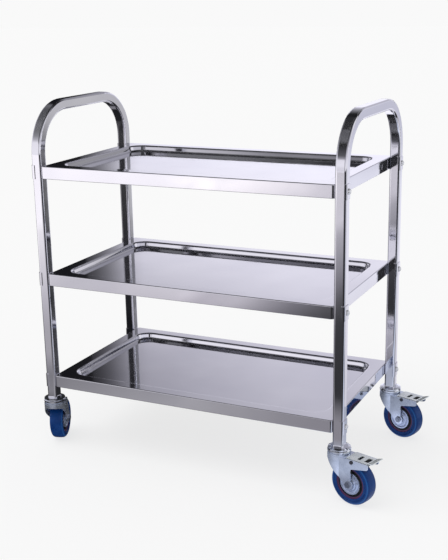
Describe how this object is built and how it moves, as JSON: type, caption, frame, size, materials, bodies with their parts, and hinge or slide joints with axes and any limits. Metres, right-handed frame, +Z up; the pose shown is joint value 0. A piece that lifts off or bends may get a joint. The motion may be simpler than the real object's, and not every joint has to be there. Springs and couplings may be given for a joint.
{
  "type": "room service cart",
  "caption": "Serving trolley of polished stainless steel: pressed trays between bent-tube side frames with handles, on swivel casters, the right-hand ones braked.",
  "frame": {"origin": "on the floor under the middle of the box round the cart and its casters as they stand in the picture", "axes": "+X along the length towards the braked casters, +Y from the front, nearest the camera, to the back, +Z up"},
  "size_m": [0.9211, 0.4771, 0.835],
  "materials": {
    "polished_stainless": "mirror polished",
    "zinc_plated_steel": "bright zinc",
    "blue_rubber": "satin",
    "black_nylon": "matte",
    "black_rubber": "matte"
  },
  "bodies": {
    "cart_frame": {"left_side_frame": "polished_stainless", "right_side_frame": "polished_stainless", "top_shelf": "polished_stainless", "middle_shelf": "polished_stainless", "bottom_shelf": "polished_stainless", "shelf_stiffeners": "polished_stainless", "joint_clips": "polished_stainless", "shelf_bolts": "polished_stainless", "shelf_nuts": "zinc_plated_steel", "leg_inserts": "zinc_plated_steel", "front_left_caster_stem": "zinc_plated_steel", "front_left_race_cup": "zinc_plated_steel", "rear_left_caster_stem": "zinc_plated_steel", "rear_left_race_cup": "zinc_plated_steel", "front_right_caster_stem": "zinc_plated_steel", "front_right_race_cup": "zinc_plated_steel", "rear_right_caster_stem": "zinc_plated_steel", "rear_right_race_cup": "zinc_plated_steel"},
    "front_left_swivel": {"front_left_fork": "zinc_plated_steel", "front_left_swivel_balls": "zinc_plated_steel", "front_left_axle_bolt": "zinc_plated_steel", "front_left_axle_nut": "zinc_plated_steel", "front_left_axle_sleeve": "zinc_plated_steel"},
    "front_left_wheel": {"front_left_tyre": "blue_rubber", "front_left_wheel_core": "black_nylon", "front_left_hub_discs": "zinc_plated_steel"},
    "rear_left_swivel": {"rear_left_fork": "zinc_plated_steel", "rear_left_swivel_balls": "zinc_plated_steel", "rear_left_axle_bolt": "zinc_plated_steel", "rear_left_axle_nut": "zinc_plated_steel", "rear_left_axle_sleeve": "zinc_plated_steel"},
    "rear_left_wheel": {"rear_left_tyre": "blue_rubber", "rear_left_wheel_core": "black_nylon", "rear_left_hub_discs": "zinc_plated_steel"},
    "front_right_swivel": {"front_right_fork": "zinc_plated_steel", "front_right_swivel_balls": "zinc_plated_steel", "front_right_axle_bolt": "zinc_plated_steel", "front_right_axle_nut": "zinc_plated_steel", "front_right_axle_sleeve": "zinc_plated_steel", "front_right_pedal_pin": "zinc_plated_steel"},
    "front_right_wheel": {"front_right_tyre": "blue_rubber", "front_right_wheel_core": "black_nylon", "front_right_hub_discs": "zinc_plated_steel"},
    "front_right_brake": {"front_right_brake_pedal": "zinc_plated_steel", "front_right_brake_shoe": "black_rubber"},
    "rear_right_swivel": {"rear_right_fork": "zinc_plated_steel", "rear_right_swivel_balls": "zinc_plated_steel", "rear_right_axle_bolt": "zinc_plated_steel", "rear_right_axle_nut": "zinc_plated_steel", "rear_right_axle_sleeve": "zinc_plated_steel", "rear_right_pedal_pin": "zinc_plated_steel"},
    "rear_right_wheel": {"rear_right_tyre": "blue_rubber", "rear_right_wheel_core": "black_nylon", "rear_right_hub_discs": "zinc_plated_steel"},
    "rear_right_brake": {"rear_right_brake_pedal": "zinc_plated_steel", "rear_right_brake_shoe": "black_rubber"}
  },
  "joints": [
    {"name": "front_left_swivel_turn", "type": "hinge", "parent": "cart_frame", "child": "front_left_swivel", "pos_m": [-0.381, -0.1905, 0.1132], "axis": [0, 0, 1], "continuous": true},
    {"name": "front_left_wheel_roll", "type": "hinge", "parent": "front_left_swivel", "child": "front_left_wheel", "pos_m": [-0.39434, -0.15385, 0.05], "axis": [-0.9397, -0.342, 0], "continuous": true},
    {"name": "rear_left_swivel_turn", "type": "hinge", "parent": "cart_frame", "child": "rear_left_swivel", "pos_m": [-0.381, 0.1905, 0.1132], "axis": [0, 0, 1], "continuous": true},
    {"name": "rear_left_wheel_roll", "type": "hinge", "parent": "rear_left_swivel", "child": "rear_left_wheel", "pos_m": [-0.41635, 0.20698, 0.05], "axis": [-0.4226, -0.9063, 0], "continuous": true},
    {"name": "front_right_swivel_turn", "type": "hinge", "parent": "cart_frame", "child": "front_right_swivel", "pos_m": [0.354, -0.1905, 0.1132], "axis": [0, 0, 1], "continuous": true},
    {"name": "front_right_wheel_roll", "type": "hinge", "parent": "front_right_swivel", "child": "front_right_wheel", "pos_m": [0.3913, -0.2019, 0.05], "axis": [0.2924, 0.9563, 0], "continuous": true},
    {"name": "front_right_brake_press", "type": "hinge", "parent": "front_right_swivel", "child": "front_right_brake", "pos_m": [0.39847, -0.20409, 0.1035], "axis": [0.2924, 0.9563, 0], "range_deg": [0, 14]},
    {"name": "rear_right_swivel_turn", "type": "hinge", "parent": "cart_frame", "child": "rear_right_swivel", "pos_m": [0.354, 0.1905, 0.1132], "axis": [0, 0, 1], "continuous": true},
    {"name": "rear_right_wheel_roll", "type": "hinge", "parent": "rear_right_swivel", "child": "rear_right_wheel", "pos_m": [0.3913, 0.1791, 0.05], "axis": [0.2924, 0.9563, 0], "continuous": true},
    {"name": "rear_right_brake_press", "type": "hinge", "parent": "rear_right_swivel", "child": "rear_right_brake", "pos_m": [0.39847, 0.17691, 0.1035], "axis": [0.2924, 0.9563, 0], "range_deg": [0, 14]}
  ]
}
